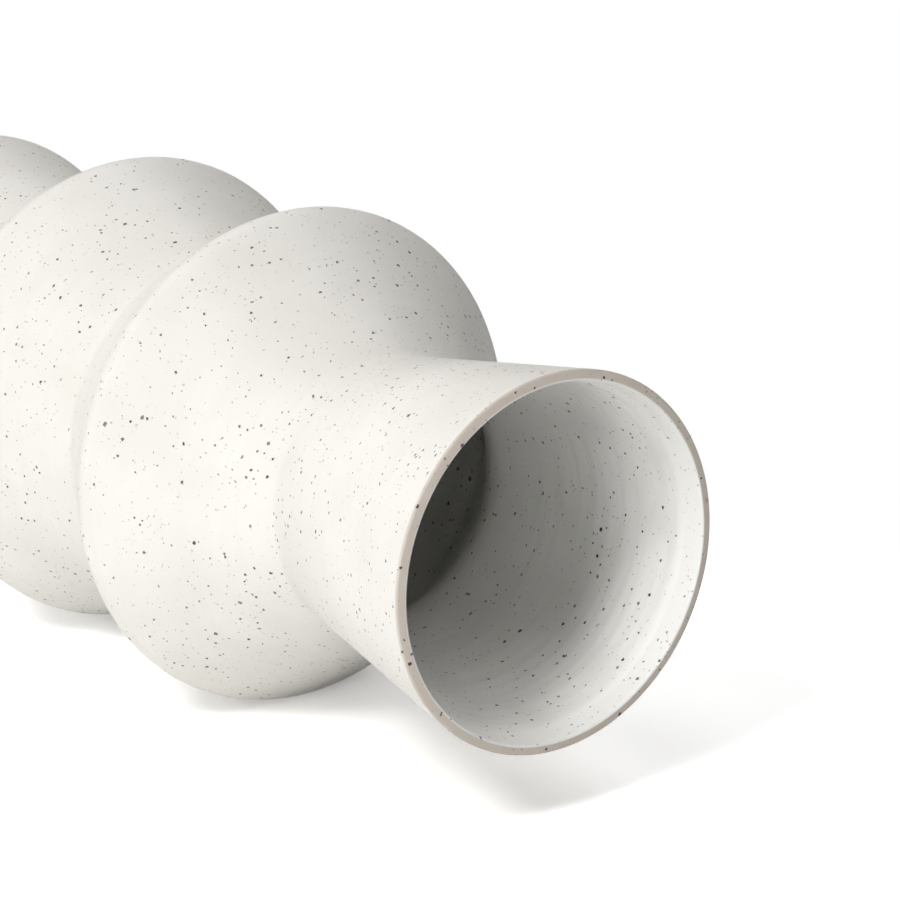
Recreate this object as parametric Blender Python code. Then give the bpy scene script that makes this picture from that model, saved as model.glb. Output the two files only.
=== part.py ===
"""A tall stoneware vase: a flared neck over three bulbs, standing on a turned foot.

The bulbs have straight, conical flanks that meet in a tight turn at the widest part and at the
waists. The vase is thrown as five sections that are luted together: the foot with the floor, three
bulbs and the neck. Every joint is stepped. On the inner half of the wall a tongue of one section
reaches past the joint into a rebate of the next, and on the outer half a ring of slip fills the
joint. A thin coat of glaze lines the inside, from the floor to just under the lip.

Lengths are in millimetres and heights are above the table. The meshes are made in metres, +Z up,
with the origin at the centre of the foot, on the table.
"""

import math

import bmesh
import bpy

MM = 0.001
SEGMENTS = 40  # facets round the axis
ARC_STEP = math.radians(20)  # the most that an arc turns between two of its points
MERGE = 1e-6  # metres; joins the copies of a point that lies on the axis

HEIGHT = 395.0
MOUTH_RADIUS = 60.0
FOOT_RADIUS = 50.0

# Where the outside turns, as (height, radius, radius of the turn). The turn is negative at a
# waist, where the outside is hollow.
THROAT = (310.0, 45.0, -5.0)
UPPER_BULGE = (258.0, 83.0, 8.5)
UPPER_WAIST = (211.5, 58.5, -10.0)
MIDDLE_BULGE = (159.0, 81.5, 8.5)
LOWER_WAIST = (109.0, 56.5, -9.0)
LOWER_BULGE = (46.0, 69.5, 11.5)

LIP_WALL = 3.5  # wall thickness at the lip
BODY_WALL = 5.0  # wall thickness from WALL_RAMP below the lip down
WALL_RAMP = 60.0
LIP_ROUND = 0.8  # the lip's edges are broken by this much
FOOT_CHAMFER = 1.5

FLOOR = 8.0  # height of the floor inside
FLOOR_CORNER = 6.0  # the floor meets the wall over this much
FOOT_RING = 9.0  # width of the flat ring that the vase stands on
FOOT_HOLLOW = 2.5  # the underside is turned away by this much inside the ring
FOOT_SLOPE = 3.0

JOINT_GAP = 0.3
SLIP = 1.6  # height of a ring of slip
TONGUE = 4.0
FOOT_JOINT = 20.0  # height of the joint between the foot and the lower bulb

GLAZE = 0.5
GLAZE_LINE = 5.0  # the glaze stops this far below the lip

STONEWARE = ("speckled_stoneware", (0.86, 0.845, 0.815), 0.62)
SLIP_CLAY = ("slip_clay", (0.80, 0.78, 0.74), 0.8)
LINER = ("liner_glaze", (0.84, 0.83, 0.80), 0.3)


def clear_scene():
    for obj in list(bpy.data.objects):
        bpy.data.objects.remove(obj)


def make_material(name, color, roughness):
    material = bpy.data.materials.new(name)
    material.use_nodes = True
    shader = material.node_tree.nodes["Principled BSDF"]
    shader.inputs["Base Color"].default_value = (*color, 1)
    shader.inputs["Roughness"].default_value = roughness
    shader.inputs["Metallic"].default_value = 0.0
    return material


def tangent_angle(start, end):
    """The direction of the straight that touches two turns, each (depth, radius, turn)."""
    along, out = end[0] - start[0], end[1] - start[1]
    lean = (start[2] - end[2]) / math.hypot(along, out)
    return math.atan2(out, along) - math.asin(lean)


def turn_angles(enter, leave):
    """The directions of the points on a turn. The wall runs straight down at one of them."""
    before, after = (math.ceil(abs(angle) / ARC_STEP) for angle in (enter, leave))
    angles = [enter * (before - step) / before for step in range(before)]
    return angles + [leave * step / after for step in range(after + 1)]


def outline():
    """The outside from the lip down, as (height, radius, direction) at each point.

    Direction is the angle of travel, 0 straight down and positive where the wall widens.
    """
    turns = [(HEIGHT - LIP_ROUND, MOUTH_RADIUS, 0.0), THROAT, UPPER_BULGE, UPPER_WAIST]
    turns += [MIDDLE_BULGE, LOWER_WAIST, LOWER_BULGE, (FOOT_CHAMFER, FOOT_RADIUS, 0.0)]
    centres = [(HEIGHT - height, radius - turn, turn) for height, radius, turn in turns]
    straights = [tangent_angle(a, b) for a, b in zip(centres, centres[1:])]
    points = []
    for index, (depth, radius, turn) in enumerate(centres):
        enter = straights[max(index - 1, 0)]
        leave = straights[min(index, len(straights) - 1)]
        for angle in turn_angles(enter, leave) if turn else [enter]:
            down = depth - turn * math.sin(angle)
            points.append((HEIGHT - down, radius + turn * math.cos(angle), angle))
    return points


def offset_curve(points, extra):
    """The outline moved in by the wall's thickness and extra, as (radius, height) from the top."""
    curve = []
    for height, radius, angle in points:
        share = min((HEIGHT - height) / WALL_RAMP, 1.0)
        inward = LIP_WALL + (BODY_WALL - LIP_WALL) * share + extra
        curve.append((radius - inward * math.cos(angle), height - inward * math.sin(angle)))
    return curve


def radius_at(curve, height):
    for (r_high, high), (r_low, low) in zip(curve, curve[1:]):
        if low <= height <= high:
            return r_low + (r_high - r_low) * (height - low) / (high - low)
    raise ValueError(f"no point of the curve is {height} mm high")


def stretch(curve, high, low):
    """The part of a curve between two heights, from the top."""
    inner_points = [(r, z) for r, z in curve if low + MM < z < high - MM]
    return [(radius_at(curve, high), high), *inner_points, (radius_at(curve, low), low)]


def split_radius(outside, inside, height):
    """The middle of the wall, where a joint steps from one height to the other."""
    return (radius_at(outside, height) + radius_at(inside, height)) / 2


def top_of_section(outside, inside, joint):
    """The stepped upper end of a section below a joint, from outside to inside."""
    height, tongue = joint
    step = split_radius(outside, inside, height) - math.copysign(JOINT_GAP / 2, tongue)
    return [(step, height - SLIP / 2 - JOINT_GAP), (step, height + tongue)]


def bottom_of_section(outside, inside, joint):
    """The stepped lower end of a section above a joint, from inside to outside."""
    height, tongue = joint
    step = split_radius(outside, inside, height) + math.copysign(JOINT_GAP / 2, tongue)
    return [(step, height + tongue + JOINT_GAP), (step, height + SLIP / 2 + JOINT_GAP)]


def section_outline(outside, inside, upper, lower):
    """A bulb between two joints, as a closed outline."""
    outer = stretch(outside, upper[0] - SLIP / 2 - JOINT_GAP, lower[0] + SLIP / 2 + JOINT_GAP)
    inner = stretch(inside, upper[0] + upper[1], lower[0] + lower[1] + JOINT_GAP)
    top = top_of_section(outside, inside, upper)
    bottom = bottom_of_section(outside, inside, lower)
    return outer[::-1] + top + inner + bottom


def neck_outline(outside, inside, lower):
    """The neck from its joint up to the lip, whose two edges are broken."""
    outer = stretch(outside, HEIGHT - LIP_ROUND, lower[0] + SLIP / 2 + JOINT_GAP)
    inner = stretch(inside, HEIGHT - LIP_ROUND, lower[0] + lower[1] + JOINT_GAP)
    lip = [(outer[0][0] - LIP_ROUND, HEIGHT), (inner[0][0] + LIP_ROUND, HEIGHT)]
    return outer[::-1] + lip + inner + bottom_of_section(outside, inside, lower)


def foot_outline(outside, inside, upper):
    """The foot from the axis under it, round its ring and up to its joint, then over the floor."""
    ring_inner = FOOT_RADIUS - FOOT_CHAMFER - FOOT_RING
    under = [(0.0, FOOT_HOLLOW), (ring_inner - FOOT_SLOPE, FOOT_HOLLOW), (ring_inner, 0.0)]
    under.append((FOOT_RADIUS - FOOT_CHAMFER, 0.0))
    outer = stretch(outside, upper[0] - SLIP / 2 - JOINT_GAP, FOOT_CHAMFER)
    inner = stretch(inside, upper[0] + upper[1], FLOOR + FLOOR_CORNER)
    floor = [(inner[-1][0] - FLOOR_CORNER, FLOOR), (0.0, FLOOR)]
    return under + outer[::-1] + top_of_section(outside, inside, upper) + inner + floor


def slip_outline(outside, inside, joint):
    """A ring of slip: it fills the outer half of the wall at a joint."""
    height = joint[0]
    outer = stretch(outside, height + SLIP / 2, height - SLIP / 2)
    back = split_radius(outside, inside, height) + JOINT_GAP / 2
    return outer + [(back, height - SLIP / 2), (back, height + SLIP / 2)]


def glaze_outline(points):
    """The coat of glaze inside: a thin cup, open at the top."""
    top = HEIGHT - GLAZE_LINE
    faces = []
    for depth in (JOINT_GAP, JOINT_GAP + GLAZE):
        level = FLOOR + depth
        wall = stretch(offset_curve(points, depth), top, level + FLOOR_CORNER)
        faces.append(wall + [(wall[-1][0] - FLOOR_CORNER, level), (0.0, level)])
    against_wall, glazed = faces
    return against_wall[::-1] + glazed


def lathe(name, profile, material):
    """Turns an outline of (radius, height) round the axis. It is open where it ends on the axis."""
    mesh = bmesh.new()
    rim = [mesh.verts.new((radius * MM, 0.0, height * MM)) for radius, height in profile]
    edges = [mesh.edges.new(pair) for pair in zip(rim, rim[1:])]
    if profile[0][0] > 0.0:
        edges.append(mesh.edges.new((rim[-1], rim[0])))
    bmesh.ops.spin(
        mesh,
        geom=rim + edges,
        axis=(0, 0, 1),
        cent=(0, 0, 0),
        angle=math.tau,
        steps=SEGMENTS,
        use_merge=True,
    )
    bmesh.ops.remove_doubles(mesh, verts=mesh.verts, dist=MERGE)
    bmesh.ops.recalc_face_normals(mesh, faces=mesh.faces)
    data = bpy.data.meshes.new(name)
    mesh.to_mesh(data)
    mesh.free()
    data.shade_smooth()
    data.set_sharp_from_angle(angle=math.radians(40))
    data.materials.append(material)
    obj = bpy.data.objects.new(name, data)
    bpy.context.scene.collection.objects.link(obj)
    return obj


def build_vase():
    points = outline()
    outside = [(radius, height) for height, radius, _ in points]
    inside = offset_curve(points, 0.0)
    clay = make_material(*STONEWARE)
    slip = make_material(*SLIP_CLAY)

    # The foot's tongue would thin out where the wall leans outwards, so there the bulb has it.
    foot_joint = (FOOT_JOINT, -TONGUE)
    lower_joint = (LOWER_WAIST[0], TONGUE)
    upper_joint = (UPPER_WAIST[0], TONGUE)
    neck_joint = (THROAT[0], TONGUE)

    lathe("foot", foot_outline(outside, inside, foot_joint), clay)
    lathe("lower_bulb", section_outline(outside, inside, lower_joint, foot_joint), clay)
    lathe("middle_bulb", section_outline(outside, inside, upper_joint, lower_joint), clay)
    lathe("upper_bulb", section_outline(outside, inside, neck_joint, upper_joint), clay)
    lathe("neck", neck_outline(outside, inside, neck_joint), clay)

    lathe("foot_slip", slip_outline(outside, inside, foot_joint), slip)
    lathe("lower_waist_slip", slip_outline(outside, inside, lower_joint), slip)
    lathe("upper_waist_slip", slip_outline(outside, inside, upper_joint), slip)
    lathe("neck_slip", slip_outline(outside, inside, neck_joint), slip)

    lathe("liner_glaze", glaze_outline(points), make_material(*LINER))


clear_scene()
build_vase()
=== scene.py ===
"""The looks of a speckled stoneware vase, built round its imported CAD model.

The vase stands upright in the frame, foot down. The scene's own camera looks down on it from in
front and is turned about its line of sight, so that its picture shows the vase lying on its side,
mouth towards the camera. The vase's and the camera's lengths are in millimetres, and MM turns
them into Blender's metres. The stage's lengths are in metres.
"""

import math
from collections import namedtuple

import bpy
import numpy as np
from mathutils import Matrix, Vector


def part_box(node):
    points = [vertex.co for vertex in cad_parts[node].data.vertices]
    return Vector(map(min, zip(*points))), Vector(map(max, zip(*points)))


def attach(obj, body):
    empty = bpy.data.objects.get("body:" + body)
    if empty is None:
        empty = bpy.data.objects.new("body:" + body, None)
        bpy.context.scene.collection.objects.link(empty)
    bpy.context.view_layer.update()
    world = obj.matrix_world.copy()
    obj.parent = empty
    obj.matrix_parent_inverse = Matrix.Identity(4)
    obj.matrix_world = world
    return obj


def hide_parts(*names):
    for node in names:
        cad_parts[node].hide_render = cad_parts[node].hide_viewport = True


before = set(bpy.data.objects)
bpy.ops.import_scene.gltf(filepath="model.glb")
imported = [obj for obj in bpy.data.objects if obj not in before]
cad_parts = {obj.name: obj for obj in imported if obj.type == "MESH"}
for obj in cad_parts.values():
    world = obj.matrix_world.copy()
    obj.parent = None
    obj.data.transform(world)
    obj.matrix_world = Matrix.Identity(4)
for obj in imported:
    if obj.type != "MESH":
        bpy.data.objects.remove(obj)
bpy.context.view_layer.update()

MM = 0.001

# The form. The turning points of the outline come from the frame. These are the radii of its
# turns, negative in a waist, and the sizes that are finer than the CAD model.
THROAT_TURN = -2.5
UPPER_BULGE_TURN = 6.0
UPPER_WAIST_TURN = -4.0
MIDDLE_BULGE_TURN = 6.0
LOWER_WAIST_TURN = -4.0
LOWER_BULGE_TURN = 8.0
LIP_WALL = 3.5
LIP_LEAN = 0.5  # the lip's top is this much lower at its outer edge than at its inner edge
LIP_TINT_AND_SHADE_DEPTH = 1.8  # the lip's top is darker, from the unglazed clay's warmer tint and from painted shade, down to this far over its outer edge
LIP_GLAZED = 0.7  # but not on its inner edge, over this width
BODY_WALL = 5.0
WALL_RAMP = 60.0  # the wall thickens from the lip down over this height
FLOOR = 8.0
FLOOR_ROUND = 6.0
FOOT_EDGE = 1.5
FOOT_RING = 9.0
FOOT_HOLLOW = 2.5
FOOT_SLOPE = 3.0
GLAZE = 0.5
GLAZE_SUNK = 0.1  # the coat's back lies this deep in the clay, so that its edge feathers out
GLAZE_FEATHER = 6.0
GLAZE_LINE = 5.0

# The low ridges left by the potter's fingers and tools, as (height, spacing).
OUTSIDE_RIDGES = (0.02, 11.0)
INSIDE_RIDGES = (0.06, 6.5)
UNDERSIDE_RIDGES = (0.1, 4.2)

# How fine the meshes are.
STEP = 1.5
FINE_STEP = 0.3  # round the lip and the foot ring
FINE_REACH = 6.0
ARC_STEP = math.radians(0.5)
SEGMENTS = 192
ON_AXIS = 0.01  # a point closer to the axis than this is on it
LEVEL = 0.1  # a point no higher than this above a level is on it
OUTSIDE_PASSES = 2  # softening that runs the outside's arcs into its straights
INSIDE_PASSES = 8  # and the inside's, where the creases are rounder
EDGE_PASSES = 5  # softening that rounds the lip and the foot ring

Joint = namedtuple("Joint", "low high split end")


# ------------------------------------------------------------------------------ the frame's sizes


def rings(node):
    """The vertices of a CAD node as rows of (radius, height)."""
    places = np.array([vertex.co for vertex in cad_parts[node].data.vertices]) / MM
    return np.column_stack([np.hypot(places[:, 0], places[:, 1]), places[:, 2]])


def levels(node):
    """The lowest and the highest height of a CAD node."""
    low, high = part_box(node)
    return low.z / MM, high.z / MM


def widest(node):
    """(height, radius) where a CAD node is widest."""
    radius, height = max(map(tuple, rings(node)))
    return height, radius


def waist(slip):
    """(height, radius) of a waist, from the ring of slip in the middle of it."""
    return sum(levels(slip)) / 2, rings(slip)[:, 0].max()


def foot_radius():
    return max(radius for radius, height in rings("foot") if height < FOOT_EDGE + LEVEL)


def joint(slip, tongue_end):
    """A stepped joint: its slip's heights, the radius of the step and where the tongue ends."""
    low, high = levels(slip)
    return Joint(low, high, rings(slip)[:, 0].min(), tongue_end)


# --------------------------------------------------------------------------------- lines and turns


def arc(centre, radius, start, end):
    """Points of (radius, height) on an arc, at angles from start to end."""
    steps = max(math.ceil(abs(end - start) / ARC_STEP), 1)
    angles = [start + (end - start) * step / steps for step in range(steps + 1)]
    return [(centre[0] + radius * math.cos(a), centre[1] + radius * math.sin(a)) for a in angles]


def tangent_angle(start, end):
    """The direction of the straight that touches two turns, each (depth, radius, turn)."""
    along, out = end[0] - start[0], end[1] - start[1]
    lean = (start[2] - end[2]) / math.hypot(along, out)
    return math.atan2(out, along) - math.asin(lean)


def through_turns(turns):
    """The line down through turning points, each (height, radius, radius of the turn)."""
    centres = [(-height, radius - turn, turn) for height, radius, turn in turns]
    straights = [tangent_angle(a, b) for a, b in zip(centres, centres[1:])]
    points = []
    for index, (depth, radius, turn) in enumerate(centres):
        enter = straights[max(index - 1, 0)]
        leave = straights[min(index, len(straights) - 1)]
        points += arc((radius, -depth), turn, enter, leave) if turn else [(radius, -depth)]
    return points


def lengths(line):
    """How far along the line each of its points is."""
    return np.concatenate([[0], np.cumsum(np.hypot(*np.diff(line, axis=0).T))])


def resample(points, step):
    """The same line with its points evenly spaced, as two columns."""
    line = np.array(points, float)
    along = lengths(line)
    at = np.linspace(0, along[-1], round(along[-1] / step) + 1)
    return np.column_stack([np.interp(at, along, line[:, 0]), np.interp(at, along, line[:, 1])])


def soften(line, passes):
    """The line with its curvature evened out and its ends kept."""
    line = line.copy()
    for _ in range(passes):
        line[1:-1] = line[1:-1] / 2 + (line[:-2] + line[2:]) / 4
    return line


def facing(line):
    """The way that each point of a line faces: to the left of its travel."""
    travel = np.gradient(line, lengths(line), axis=0)
    left = np.column_stack([-travel[:, 1], travel[:, 0]])
    return left / np.hypot(*left.T)[:, None]


def moved(line, distance):
    """The line moved to its left, by one distance or by one for each point."""
    return line + facing(line) * np.reshape(distance, (-1, 1))


def to_axis(line):
    """The line with its last point set on the axis."""
    line[-1, 0] = 0
    return line


def ridges(line, height, spacing):
    """Low ridges along a line, as a distance for each point.

    Both their spacing and their height wander, over odd numbers of ridges, so that they never
    repeat.
    """
    turn = math.tau * lengths(line) / spacing
    spaced = np.sin(turn + 1.7 * np.sin(turn / 4.3))
    return height * spaced * (0.6 + 0.4 * np.sin(turn / 7.1 + 1))


def cut(line, high, low):
    """The part of a downward line between two heights, with the way that its points face.

    Where a height is None, the part runs to that end of the line.
    """
    rows = np.column_stack([line, facing(line)])
    falling = -line[:, 1]
    if low is not None:
        after = np.argmax(falling > -low)
        rows = np.vstack([rows[:after], crossing(rows[after - 1], rows[after], low)])
    if high is not None:
        after = np.argmax(falling > -high)
        rows = np.vstack([crossing(rows[after - 1], rows[after], high), rows[after:]])
    return rows[:, :2], rows[:, 2:]


def crossing(above, below, height):
    """The row between two rows of a line that is at this height."""
    share = (above[1] - height) / (above[1] - below[1])
    return above + (below - above) * share


def backwards(strip):
    line, faces = strip
    return line[::-1], -faces[::-1]


def straight_strips(points):
    """A strip for each straight between points, so that every corner is sharp."""
    lines = [np.array(pair, float) for pair in zip(points, points[1:])]
    return [(line, facing(line)) for line in lines]


# ---------------------------------------------------------------------------------- the vase's form


def over_lip(line, middle, top):
    """A wall's line, begun in the middle of the lip's top and rounded over the lip's edge."""
    slope = (line[1, 0] - line[0, 0]) / (line[1, 1] - line[0, 1])
    corner = (line[0, 0] + slope * (top - line[0, 1]), top)
    near = np.argmax(line[:, 1] < top - FINE_REACH)
    edge = soften(resample([middle, corner, *line[:near]], FINE_STEP), EDGE_PASSES)
    return np.vstack([edge, line[near:]])


def under_foot(line):
    """The outside's line, run on round the foot ring and over the hollow to the axis."""
    ring_outer = line[-1, 0] - FOOT_EDGE
    ring_inner = ring_outer - FOOT_RING
    hollow = (ring_inner - FOOT_SLOPE, FOOT_HOLLOW)
    near = np.argmax(line[:, 1] < FINE_REACH)
    beyond = (hollow[0] - FINE_REACH, FOOT_HOLLOW)
    ring = [*line[near:], (ring_outer, 0), (ring_inner, 0), hollow, beyond]
    edge = soften(resample(ring, FINE_STEP), EDGE_PASSES)
    rest = resample([edge[-1], (0, FOOT_HOLLOW)], STEP)
    fade = np.clip(rest[:, 0] / FINE_REACH, 0, 1) * np.clip(lengths(rest) / FINE_REACH, 0, 1)
    turned_away = moved(rest, ridges(rest, *UNDERSIDE_RIDGES) * fade)
    return to_axis(np.vstack([line[:near], edge, turned_away[1:]]))


def wall_lines():
    """The outside and the inside of the clay, both from the middle of the lip to the axis."""
    top = levels("neck")[1]
    lip_height, lip_radius = widest("neck")
    turns = [
        (lip_height, lip_radius, 0.0),
        (*waist("neck_slip"), THROAT_TURN),
        (*widest("upper_bulb"), UPPER_BULGE_TURN),
        (*waist("upper_waist_slip"), UPPER_WAIST_TURN),
        (*widest("middle_bulb"), MIDDLE_BULGE_TURN),
        (*waist("lower_waist_slip"), LOWER_WAIST_TURN),
        (*widest("lower_bulb"), LOWER_BULGE_TURN),
        (FOOT_EDGE, foot_radius(), 0.0),
    ]
    outer = soften(resample(through_turns(turns), STEP), OUTSIDE_PASSES)
    wall = LIP_WALL + (BODY_WALL - LIP_WALL) * np.clip((top - outer[:, 1]) / WALL_RAMP, 0, 1)
    inner = floored(moved(soften(outer, INSIDE_PASSES), -wall))
    outer = moved(outer, ridges(outer, *OUTSIDE_RIDGES))
    middle = ((outer[0, 0] + inner[0, 0]) / 2, top - LIP_LEAN / 2)
    return under_foot(over_lip(outer, middle, top - LIP_LEAN)), over_lip(inner, middle, top)


def floored(line):
    """The inside's line, run on round the floor's corner and over the floor to the axis."""
    line = line[line[:, 1] > FLOOR + FLOOR_ROUND]
    centre = (line[-1, 0] - FLOOR_ROUND, FLOOR + FLOOR_ROUND)
    points = [*line, *arc(centre, FLOOR_ROUND, 0, -math.pi / 2), (0, FLOOR)]
    line = soften(resample(points, STEP), INSIDE_PASSES)
    fade = np.clip(line[:, 0] / FINE_REACH, 0, 1)
    return to_axis(moved(line, ridges(line, *INSIDE_RIDGES) * fade))


def glaze_lines(inside):
    """The front and the back of the coat of glaze, from its edge under the lip to the axis."""
    line, _ = cut(inside, inside[0, 1] - GLAZE_LINE, None)
    rise = np.clip(lengths(line) / GLAZE_FEATHER, 0, 1)
    eased = rise * rise * (3 - 2 * rise)
    thickness = (GLAZE + GLAZE_SUNK) * eased
    return to_axis(moved(line, GLAZE_SUNK - thickness)), to_axis(moved(line, GLAZE_SUNK))


# ------------------------------------------------------------------------------------------ meshes


def turned(name, strips):
    """A closed mesh turned from strips of (points, facing) that follow one another.

    The solid is on the right of the strips' travel. Shading takes the way that the strips face, so
    a surface that runs on in the next piece looks like one surface.
    """
    profile, spans = [strips[0][0][0]], []
    for line, faces in strips:
        for k in range(len(line) - 1):
            spans.append((len(profile) - 1, len(profile), faces[k], faces[k + 1]))
            profile.append(line[k + 1])
    if np.hypot(*(profile[0] - profile[-1])) < ON_AXIS:
        profile.pop()
        spans[-1] = (spans[-1][0], 0, *spans[-1][2:])

    angles = np.arange(SEGMENTS) * math.tau / SEGMENTS
    turn = np.column_stack([np.cos(angles), np.sin(angles)])
    vertices, first = [], []
    for radius, height in profile:
        first.append(len(vertices))
        around = turn * radius if radius > ON_AXIS else np.zeros((1, 2))
        vertices += [(x * MM, y * MM, height * MM) for x, y in around]

    polygons, normals = [], []
    for start, end, *faces in spans:
        ways = [np.column_stack([turn * face[0], np.full(SEGMENTS, face[1])]) for face in faces]
        for k in range(SEGMENTS):
            after = (k + 1) % SEGMENTS
            corners = [(start, 0, k), (end, 1, k), (end, 1, after), (start, 0, after)]
            if profile[start][0] <= ON_AXIS:
                corners.pop()
            if profile[end][0] <= ON_AXIS:
                corners.pop(2)
            polygons.append([
                first[ring] if profile[ring][0] <= ON_AXIS else first[ring] + at
                for ring, _, at in corners
            ])
            normals += [ways[side][at] for _, side, at in corners]
    mesh = bpy.data.meshes.new(name)
    mesh.from_pydata(vertices, [], polygons)
    mesh.shade_smooth()
    mesh.normals_split_custom_set(np.array(normals).tolist())
    piece = bpy.data.objects.new(name, mesh)
    bpy.context.scene.collection.objects.link(piece)
    return piece


def stand_for(node, piece, material):
    """Gives a piece its material and shows it in the place of a CAD node."""
    piece.data.materials.append(material)
    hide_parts(node)
    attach(piece, "root")


def section(name, outside, inside, upper, lower):
    """One thrown section of clay between its upper and its lower joint."""
    inner = cut(inside, upper and upper.end, lower and lower.end)
    outer = cut(outside, upper and upper.low, lower and lower.high)
    strips = [backwards(inner)]
    if upper:
        steps = [(upper.split, upper.end), (upper.split, upper.low)]
        strips += straight_strips([inner[0][0], *steps, outer[0][0]])
    strips.append(outer)
    if lower:
        steps = [(lower.split, lower.high), (lower.split, lower.end)]
        strips += straight_strips([outer[0][-1], *steps, inner[0][-1]])
    return turned(name, strips)


def slip_ring(name, outside, at):
    """The ring of slip that fills the outer half of a joint, wiped flush with the clay."""
    outer = cut(outside, at.high, at.low)
    back = [(at.split, at.low), (at.split, at.high)]
    return turned(name, [outer, *straight_strips([outer[0][-1], *back, outer[0][0]])])


def glaze_coat(name, inside):
    front, back = glaze_lines(inside)
    return turned(name, [backwards((front, facing(front))), (back, facing(back))])


# --------------------------------------------------------------------------------------- materials

# A look gives a material's colours and how strong its patterns are. Its colours are linear red,
# green and blue, "lip" is what the lip's top is multiplied by, for the unglazed clay's warmer tint
# and for painted shade, and "tooth" and "wheel" are heights of relief.
STONEWARE = {
    "light": (0.83, 0.808, 0.765),
    "dark": (0.78, 0.758, 0.71),
    # the lip's top: partly the unglazed clay's warmer tint, partly painted shade
    "lip": (0.76, 0.70, 0.65),
    "speck_color": (0.024, 0.021, 0.019),
    "bands": 0.35,
    "specks": 0.98,
    "speck_size": 1.0,
    "roughness": 0.6,
    "shine": 0.35,
    "tooth": 0.018,
    "wheel": 0.012,
}
LINER = {
    **STONEWARE,
    "light": (0.865, 0.855, 0.82),
    "dark": (0.77, 0.762, 0.73),
    "bands": 0.8,
    "speck_size": 1.05,
    "roughness": 0.42,
    "shine": 0.5,
    "tooth": 0.008,
    "wheel": 0.02,
}
SLIP = {**STONEWARE, "tooth": 0.014}
GLAZE_WASH = (0.845, 0.837, 0.805)  # the clay's inner edge, which the glaze has run thin over
WASH_STARTS = 2.0 * GLAZE_LINE  # the wash sets in between these two depths below the lip's top
WASH_FULL = 1.5 * GLAZE_LINE
LIP_BLUR = 0.2  # half the width over which the glazed lip and the lip top with its clay tint and painted shade run into each other

# How large the clay's patterns are, and how much longer some of them are round the axis.
CLOUD = 28.0
BAND = 2.6
BAND_AROUND = 18.0
GRAIN = 0.5
GRAIN_DARKNESS = 0.3
TOOTH = 0.35
SWELL = 7.0
SWELL_HEIGHT = 0.05
WHEEL_MARK = 1.6
WHEEL_AROUND = 14.0
UNEVEN_SHEEN = 0.05  # how far the roughness goes up and down with the tooth

# Specks. Each layer has at most one in a cell of this size. The others are the radii of its
# smallest and largest ones, the share of cells with a speck, how dark the layer is, and how far it
# is shifted from the other layers.
SpeckLayer = namedtuple("SpeckLayer", "cell smallest largest share strength shift")
FAINT_SPECKS = SpeckLayer(1.6, 0.20, 0.38, 0.6, 0.35, 11.0)
SMALL_SPECKS = SpeckLayer(2.1, 0.20, 0.50, 0.85, 1.0, 23.0)
LARGE_SPECKS = SpeckLayer(4.6, 0.32, 0.66, 0.6, 1.0, 37.0)
DRAG_MARKS = SpeckLayer(3.4, 0.12, 0.22, 0.3, 0.35, 51.0)
SPECK_AROUND = 1.35
DRAG_AROUND = 7.0
SPECK_WANDER = 0.625  # the size of the noise that makes a speck's edge uneven
SPECK_RARITY = 3.0  # how much rarer specks get towards the largest
SPECK_CORE = 0.8  # the share of its radius over which a speck is fully dark
PALEST_SPECK = 0.75
SPECK_DEPTH = 0.02
SPECK_SHEEN = 0.15  # how much less rough a speck is than the clay


def add(tree, kind, inputs, output=0, **settings):
    """A new node's output. Inputs are values or other nodes' outputs, by name or by place."""
    made = tree.nodes.new("ShaderNode" + kind)
    for name, value in settings.items():
        setattr(made, name, value)
    for key, value in inputs.items():
        socket = made.inputs[key]
        if isinstance(value, bpy.types.NodeSocket):
            tree.links.new(value, socket)
        else:
            socket.default_value = value
    return made.outputs[output]


def calc(tree, operation, *values):
    return add(tree, "Math", dict(enumerate(values)), operation=operation)


def vector_calc(tree, operation, *values):
    return add(tree, "VectorMath", dict(enumerate(values)), operation=operation)


def ramp(tree, value, start, end, low=0.0, high=1.0):
    """Goes smoothly from low to high while the value goes from start to end."""
    inputs = {"Value": value, "From Min": start, "From Max": end, "To Min": low, "To Max": high}
    return add(tree, "MapRange", inputs, interpolation_type="SMOOTHSTEP")


def mix_color(tree, share, first, second, blend="MIX"):
    """Blends two colours, each a node's output or (red, green, blue)."""
    colors = [c if isinstance(c, bpy.types.NodeSocket) else (*c, 1) for c in (first, second)]
    inputs = {0: share, 6: colors[0], 7: colors[1]}
    return add(tree, "Mix", inputs, output=2, data_type="RGBA", blend_type=blend)


def noise(tree, place, size, detail=2.0, output="Fac"):
    """Soft noise from 0 to 1, whose features are about this many millimetres across."""
    return add(tree, "TexNoise", {"Vector": place, "Scale": 1 / size, "Detail": detail}, output)


def stretched(tree, place, around):
    """The place, so scaled that a pattern runs longer round the axis than up and down."""
    return vector_calc(tree, "MULTIPLY", place, (1 / around, 1 / around, 1))


def specks(tree, place, layer):
    """A layer of specks scattered through the clay: how dark each point is, from 0 to 1."""
    shift = (layer.shift, layer.shift * 2, layer.shift * 3)
    vector = vector_calc(tree, "ADD", place, shift)
    cells = add(tree, "TexVoronoi", {"Vector": vector, "Scale": 1 / layer.cell})
    distance = calc(tree, "MULTIPLY", cells, layer.cell)
    cell_color = cells.node.outputs["Color"]
    size, chance, shade = (
        add(tree, "SeparateColor", {0: cell_color}, output=channel) for channel in range(3)
    )
    larger = calc(tree, "POWER", size, SPECK_RARITY)
    radius = calc(tree, "MULTIPLY_ADD", larger, layer.largest - layer.smallest, layer.smallest)
    mask = ramp(tree, distance, radius, calc(tree, "MULTIPLY", radius, SPECK_CORE))
    there = calc(tree, "LESS_THAN", chance, layer.share)
    dark = calc(tree, "MULTIPLY_ADD", shade, 1 - PALEST_SPECK, PALEST_SPECK)
    speck = calc(tree, "MULTIPLY", calc(tree, "MULTIPLY", mask, there), dark)
    return calc(tree, "MULTIPLY", speck, layer.strength)


def millimetres(tree):
    """The place on the object, in millimetres."""
    place = add(tree, "TexCoord", {}, output="Object")
    return vector_calc(tree, "MULTIPLY", place, (1 / MM,) * 3)


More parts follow.
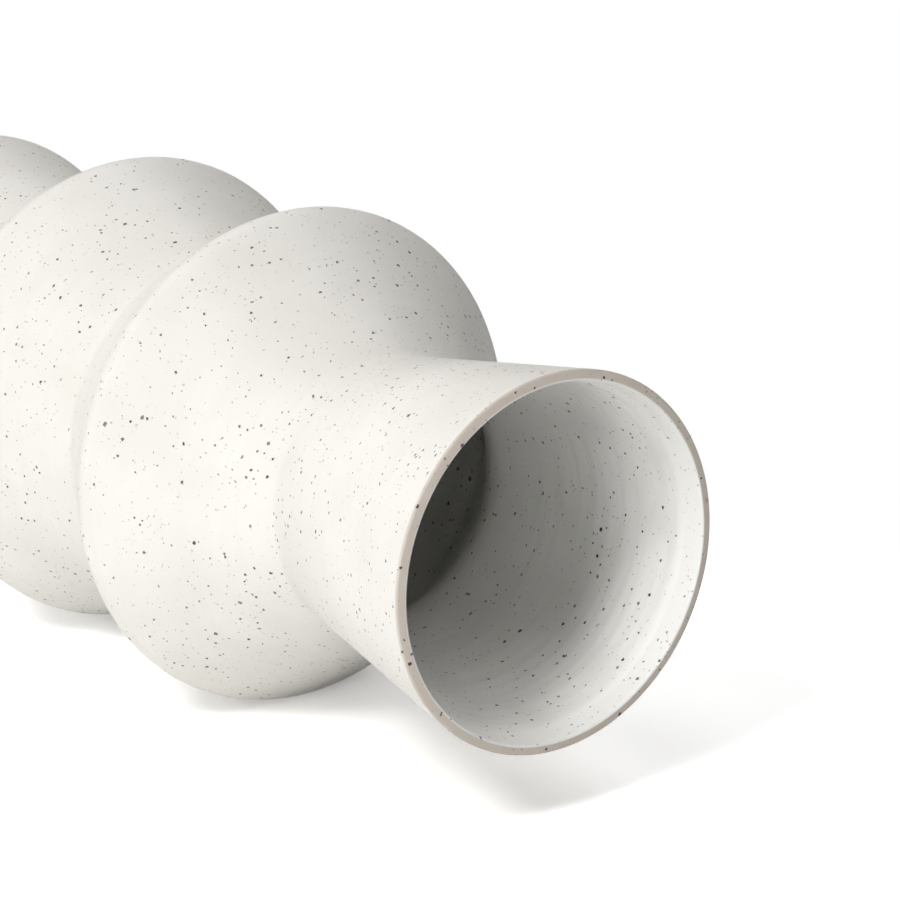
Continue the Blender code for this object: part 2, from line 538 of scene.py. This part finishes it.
def clay_color(tree, place, look):
    """Off-white clay: cloudy, banded by the wheel, with darker grains."""
    clouds = noise(tree, place, CLOUD, detail=3.0)
    bands = noise(tree, stretched(tree, place, BAND_AROUND), BAND)
    grains = noise(tree, place, GRAIN)
    color = mix_color(tree, ramp(tree, clouds, 0.3, 0.7), look["light"], look["dark"])
    color = mix_color(tree, ramp(tree, bands, 0.35, 0.75, 0, look["bands"]), color, look["dark"])
    return mix_color(tree, ramp(tree, grains, 0.45, 0.75, 0, GRAIN_DARKNESS), color, look["dark"])


def speckle(tree, place):
    """All the specks: faint small ones, dark small ones, large ones and short drag marks."""
    wander = noise(tree, place, SPECK_WANDER, output="Color")
    shift = vector_calc(tree, "SUBTRACT", wander, (0.5, 0.5, 0.5))
    oval = stretched(tree, vector_calc(tree, "ADD", place, shift), SPECK_AROUND)
    dark = specks(tree, stretched(tree, place, DRAG_AROUND), DRAG_MARKS)
    for layer in (FAINT_SPECKS, SMALL_SPECKS, LARGE_SPECKS):
        dark = calc(tree, "MAXIMUM", dark, specks(tree, oval, layer))
    return dark


def lip_zones(tree, place):
    """Where the lip's top gets the unglazed clay's tint and painted shade, and where thin glaze
    washes its inner edge.
    """
    height = add(tree, "SeparateXYZ", {0: place}, output="Z")
    across = vector_calc(tree, "MULTIPLY", place, (1, 1, 0))
    radius = add(tree, "VectorMath", {0: across}, output="Value", operation="LENGTH")
    top = levels("neck")[1]
    glazed = widest("neck")[1] - LIP_WALL + LIP_GLAZED
    outwards = ramp(tree, radius, glazed - LIP_BLUR, glazed + LIP_BLUR)
    on_top = ramp(tree, height, top - LIP_TINT_AND_SHADE_DEPTH, top - LIP_TINT_AND_SHADE_DEPTH / 2)
    near_lip = ramp(tree, height, top - WASH_STARTS, top - WASH_FULL)
    # painted shade on the lip's top, together with the unglazed clay's warmer tint
    lip_tint_and_shade = calc(tree, "MULTIPLY", on_top, outwards)
    washed = calc(tree, "MULTIPLY", near_lip, calc(tree, "SUBTRACT", 1.0, outwards))
    return lip_tint_and_shade, washed


def clay_normal(tree, place, tooth, dots, look):
    """The normal of a relief: tooth, a slow swell, marks of the wheel, and specks sunk a little."""
    swell = noise(tree, place, SWELL, detail=1.0)
    wheel = noise(tree, stretched(tree, place, WHEEL_AROUND), WHEEL_MARK)
    relief = calc(tree, "MULTIPLY", tooth, look["tooth"])
    relief = calc(tree, "MULTIPLY_ADD", swell, SWELL_HEIGHT, relief)
    relief = calc(tree, "MULTIPLY_ADD", wheel, look["wheel"], relief)
    relief = calc(tree, "MULTIPLY_ADD", dots, -SPECK_DEPTH, relief)
    return add(tree, "Bump", {"Height": relief, "Distance": MM, "Strength": 1.0})


def clay_material(name, look):
    """Speckled stoneware, unglazed or glazed."""
    material = bpy.data.materials.new(name)
    material.use_nodes = True
    tree = material.node_tree
    shader = tree.nodes["Principled BSDF"]
    place = millimetres(tree)
    dots = speckle(tree, vector_calc(tree, "MULTIPLY", place, (1 / look["speck_size"],) * 3))
    tooth = noise(tree, place, TOOTH, detail=3.0)

    lip_tint_and_shade, washed = lip_zones(tree, place)
    color = mix_color(tree, washed, clay_color(tree, place, look), GLAZE_WASH)
    # darkens the lip's top: the unglazed clay's warmer tint and painted shade
    color = mix_color(tree, lip_tint_and_shade, color, look["lip"], "MULTIPLY")
    color = mix_color(tree, calc(tree, "MULTIPLY", dots, look["specks"]), color, look["speck_color"])

    least, most = look["roughness"] - UNEVEN_SHEEN, look["roughness"] + UNEVEN_SHEEN
    rough = ramp(tree, tooth, 0.3, 0.7, least, most)
    rough = calc(tree, "MULTIPLY_ADD", dots, -SPECK_SHEEN, rough)

    tree.links.new(color, shader.inputs["Base Color"])
    tree.links.new(rough, shader.inputs["Roughness"])
    tree.links.new(clay_normal(tree, place, tooth, dots, look), shader.inputs["Normal"])
    shader.inputs["Specular IOR Level"].default_value = look["shine"]
    return material


# ------------------------------------------------------------------------------- camera and stage

# The camera looks at a point beside the vase's axis, from this far above the horizon, and is
# rolled so that the vase lies on its side in the picture.
AIM = Vector((-20.0, 0.0, 328.4)) * MM
DISTANCE = 1171.8 * MM
CAMERA_HEIGHT = math.radians(49.735)
CAMERA_ROLL = math.radians(111.481)
LENS = 149.8

LOOK = Vector((0.0, math.cos(CAMERA_HEIGHT), -math.sin(CAMERA_HEIGHT)))
CAMERA_PLACE = AIM - LOOK * DISTANCE
NEAR_CAMERA = 20.0 * MM  # a picture from within this distance is the scene's own camera's

# Which way is up in the camera's picture: the ground of the lying vase faces this way.
PICTURE_UP = Vector((-0.8888, -0.4584, 0.0)).normalized()

# Floors. Bounce is the share of light that a floor gives back to the vase, shown and glow are how
# it looks to the camera, and it fades into the backdrop between these two distances.
FLOOR_HALF = 6.0
LYING_GROUND = {"bounce": 0.95, "shown": 1.43, "glow": 0.2, "backdrop": 1.0, "fade": (0.16, 0.3)}
STANDING_FLOOR = {"bounce": 0.8, "shown": 0.8, "glow": 0.0, "backdrop": 0.75, "fade": (0.6, 2.0)}

# Lights, as (name, azimuth, height above the floor in degrees, size in metres, watts). The first
# ones light the lying vase and the others the standing one.
LIGHT_DISTANCE = 1.8
LYING_FILL = 0.0
LYING_LIGHTS = [
    ("lying_key", -32, 44, 0.45, 12.5),
    ("lying_low_key", -33, 3, 0.45, 11.8),
    ("lying_front", 20, 4, 0.5, 2.6),
    ("lying_top", -5, 67, 0.8, 5.6),
    ("lying_left_fill", -118, 24, 1.0, 9.0),
    ("lying_back", 180, 55, 1.0, 9.0),
    ("lying_right_fill", 75, 50, 1.0, 4.5),
]
STANDING_FILL = 0.24
STANDING_LIGHTS = [
    ("standing_key", -40, 40, 0.6, 21.0),
    ("standing_side", 80, 35, 0.8, 11.0),
    ("standing_back", 170, 40, 1.0, 12.0),
]


def make_camera():
    camera = bpy.data.objects.new("camera", bpy.data.cameras.new("camera"))
    camera.data.lens = LENS
    camera.location = CAMERA_PLACE
    roll = Matrix.Rotation(CAMERA_ROLL, 4, "Z")
    camera.rotation_euler = (LOOK.to_track_quat("-Z", "Y").to_matrix().to_4x4() @ roll).to_euler()
    bpy.context.scene.collection.objects.link(camera)
    bpy.context.scene.camera = camera


def at_scene_camera(tree):
    """1 in a picture from the scene's own camera, and 0 in one from anywhere else."""
    place = add(
        tree, "VectorTransform", {0: (0, 0, 0)},
        vector_type="POINT", convert_from="CAMERA", convert_to="WORLD",
    )
    inputs = {0: place, 1: CAMERA_PLACE}
    gap = add(tree, "VectorMath", inputs, output="Value", operation="DISTANCE")
    return calc(tree, "LESS_THAN", gap, NEAR_CAMERA)


def floor_material(name, look, centre, lying):
    """A plain pale floor that fades into the backdrop, for a lying or for a standing vase."""
    material = bpy.data.materials.new(name)
    material.use_nodes = True
    tree = material.node_tree
    tree.nodes.clear()
    seen = add(tree, "LightPath", {}, output="Is Camera Ray")
    gray = ramp(tree, seen, 0, 1, look["bounce"], look["shown"])
    color = add(tree, "CombineColor", {0: gray, 1: gray, 2: gray})
    diffuse = add(tree, "BsdfDiffuse", {"Color": color})
    glow = add(tree, "Emission", {"Strength": calc(tree, "MULTIPLY", seen, look["glow"])})
    near = add(tree, "AddShader", {0: diffuse, 1: glow})
    place = add(tree, "NewGeometry", {}, output="Position")
    away = add(tree, "VectorMath", {0: place, 1: centre}, output="Value", operation="DISTANCE")
    far = add(tree, "Emission", {"Strength": look["backdrop"]})
    fade = calc(tree, "MULTIPLY", seen, ramp(tree, away, *look["fade"]))
    surface = add(tree, "MixShader", {0: fade, 1: near, 2: far})
    clear = add(tree, "BsdfTransparent", {})
    first, second = (clear, surface) if lying else (surface, clear)
    shader = add(tree, "MixShader", {0: at_scene_camera(tree), 1: first, 2: second})
    output = tree.nodes.new("ShaderNodeOutputMaterial")
    tree.links.new(shader, output.inputs["Surface"])
    return material


def make_floor(name, look, centre, drop, up, lying):
    """A floor square to up, this far under the centre of what is looked at."""
    signs = [(-1, -1), (1, -1), (1, 1), (-1, 1)]
    corners = [(FLOOR_HALF * x, FLOOR_HALF * y, 0) for x, y in signs]
    mesh = bpy.data.meshes.new(name)
    mesh.from_pydata(corners, [], [(0, 1, 2, 3)])
    mesh.materials.append(floor_material(name, look, centre, lying))
    floor = bpy.data.objects.new(name, mesh)
    floor.location = centre - up * drop
    floor.rotation_euler = up.to_track_quat("Z", "Y").to_euler()
    bpy.context.scene.collection.objects.link(floor)


def make_light(name, centre, way, size, power, lying):
    """A round soft light on this way from the centre, shining on it in one kind of picture."""
    data = bpy.data.lights.new(name, "AREA")
    data.shape = "DISK"
    data.size = size
    data.energy = power
    data.use_nodes = True
    tree = data.node_tree
    here = at_scene_camera(tree)
    share = here if lying else calc(tree, "SUBTRACT", 1.0, here)
    tree.links.new(share, tree.nodes["Emission"].inputs["Strength"])
    light = bpy.data.objects.new(name, data)
    light.location = centre + way * LIGHT_DISTANCE
    light.rotation_euler = way.to_track_quat("Z", "Y").to_euler()
    bpy.context.scene.collection.objects.link(light)


def way_to(azimuth, height, front, up):
    """The way to a light: its azimuth goes from the front to the right, seen with up on top."""
    around = math.radians(azimuth)
    above = math.radians(height)
    level = front * math.cos(around) + up.cross(front) * math.sin(around)
    return level * math.cos(above) + up * math.sin(above)


def make_world():
    world = bpy.data.worlds.new("studio")
    world.use_nodes = True
    tree = world.node_tree
    background = tree.nodes["Background"]
    here = at_scene_camera(tree)
    fill = ramp(tree, here, 0, 1, STANDING_FILL, LYING_FILL)
    backdrop = ramp(tree, here, 0, 1, STANDING_FLOOR["backdrop"], LYING_GROUND["backdrop"])
    seen = add(tree, "LightPath", {}, output="Is Camera Ray")
    strength = add(tree, "Mix", {0: seen, 2: fill, 3: backdrop})
    tree.links.new(strength, background.inputs["Strength"])
    background.inputs["Color"].default_value = (1, 1, 1, 1)
    bpy.context.scene.world = world


def make_stage():
    low, high = levels("upper_bulb")
    centre = Vector((0, 0, (low + high) / 2)) * MM
    reach = widest("upper_bulb")[1] * MM
    up = Vector((0, 0, 1))
    towards_camera = (-LOOK + LOOK.dot(PICTURE_UP) * PICTURE_UP).normalized()
    make_floor("lying_ground", LYING_GROUND, centre, reach, PICTURE_UP, lying=True)
    make_floor("standing_floor", STANDING_FLOOR, centre, centre.z, up, lying=False)
    make_world()
    for name, azimuth, height, size, power in LYING_LIGHTS:
        way = way_to(azimuth, height, towards_camera, PICTURE_UP)
        make_light(name, centre, way, size, power, lying=True)
    for name, azimuth, height, size, power in STANDING_LIGHTS:
        way = way_to(azimuth, height, Vector((0, -1, 0)), up)
        make_light(name, centre, way, size, power, lying=False)
    bpy.context.scene.view_settings.view_transform = "Standard"


# ------------------------------------------------------------------------------------ the whole vase


def build_vase():
    clay = clay_material("speckled_stoneware_look", STONEWARE)
    slip = clay_material("slip_look", SLIP)
    liner = clay_material("liner_glaze_look", LINER)
    outside, inside = wall_lines()
    neck = joint("neck_slip", levels("upper_bulb")[1])
    upper = joint("upper_waist_slip", levels("middle_bulb")[1])
    lower = joint("lower_waist_slip", levels("lower_bulb")[1])
    foot = joint("foot_slip", levels("lower_bulb")[0])

    joints = [None, neck, upper, lower, foot, None]
    sections = ["neck", "upper_bulb", "middle_bulb", "lower_bulb", "foot"]
    for name, above, below in zip(sections, joints, joints[1:]):
        piece = section(name + "_thrown", outside, inside, above, below)
        stand_for(name, piece, clay)

    slips = ["neck_slip", "upper_waist_slip", "lower_waist_slip", "foot_slip"]
    for name, at in zip(slips, joints[1:]):
        stand_for(name, slip_ring(name + "_ring", outside, at), slip)

    stand_for("liner_glaze", glaze_coat("liner_glaze_coat", inside), liner)


build_vase()
make_camera()
make_stage()
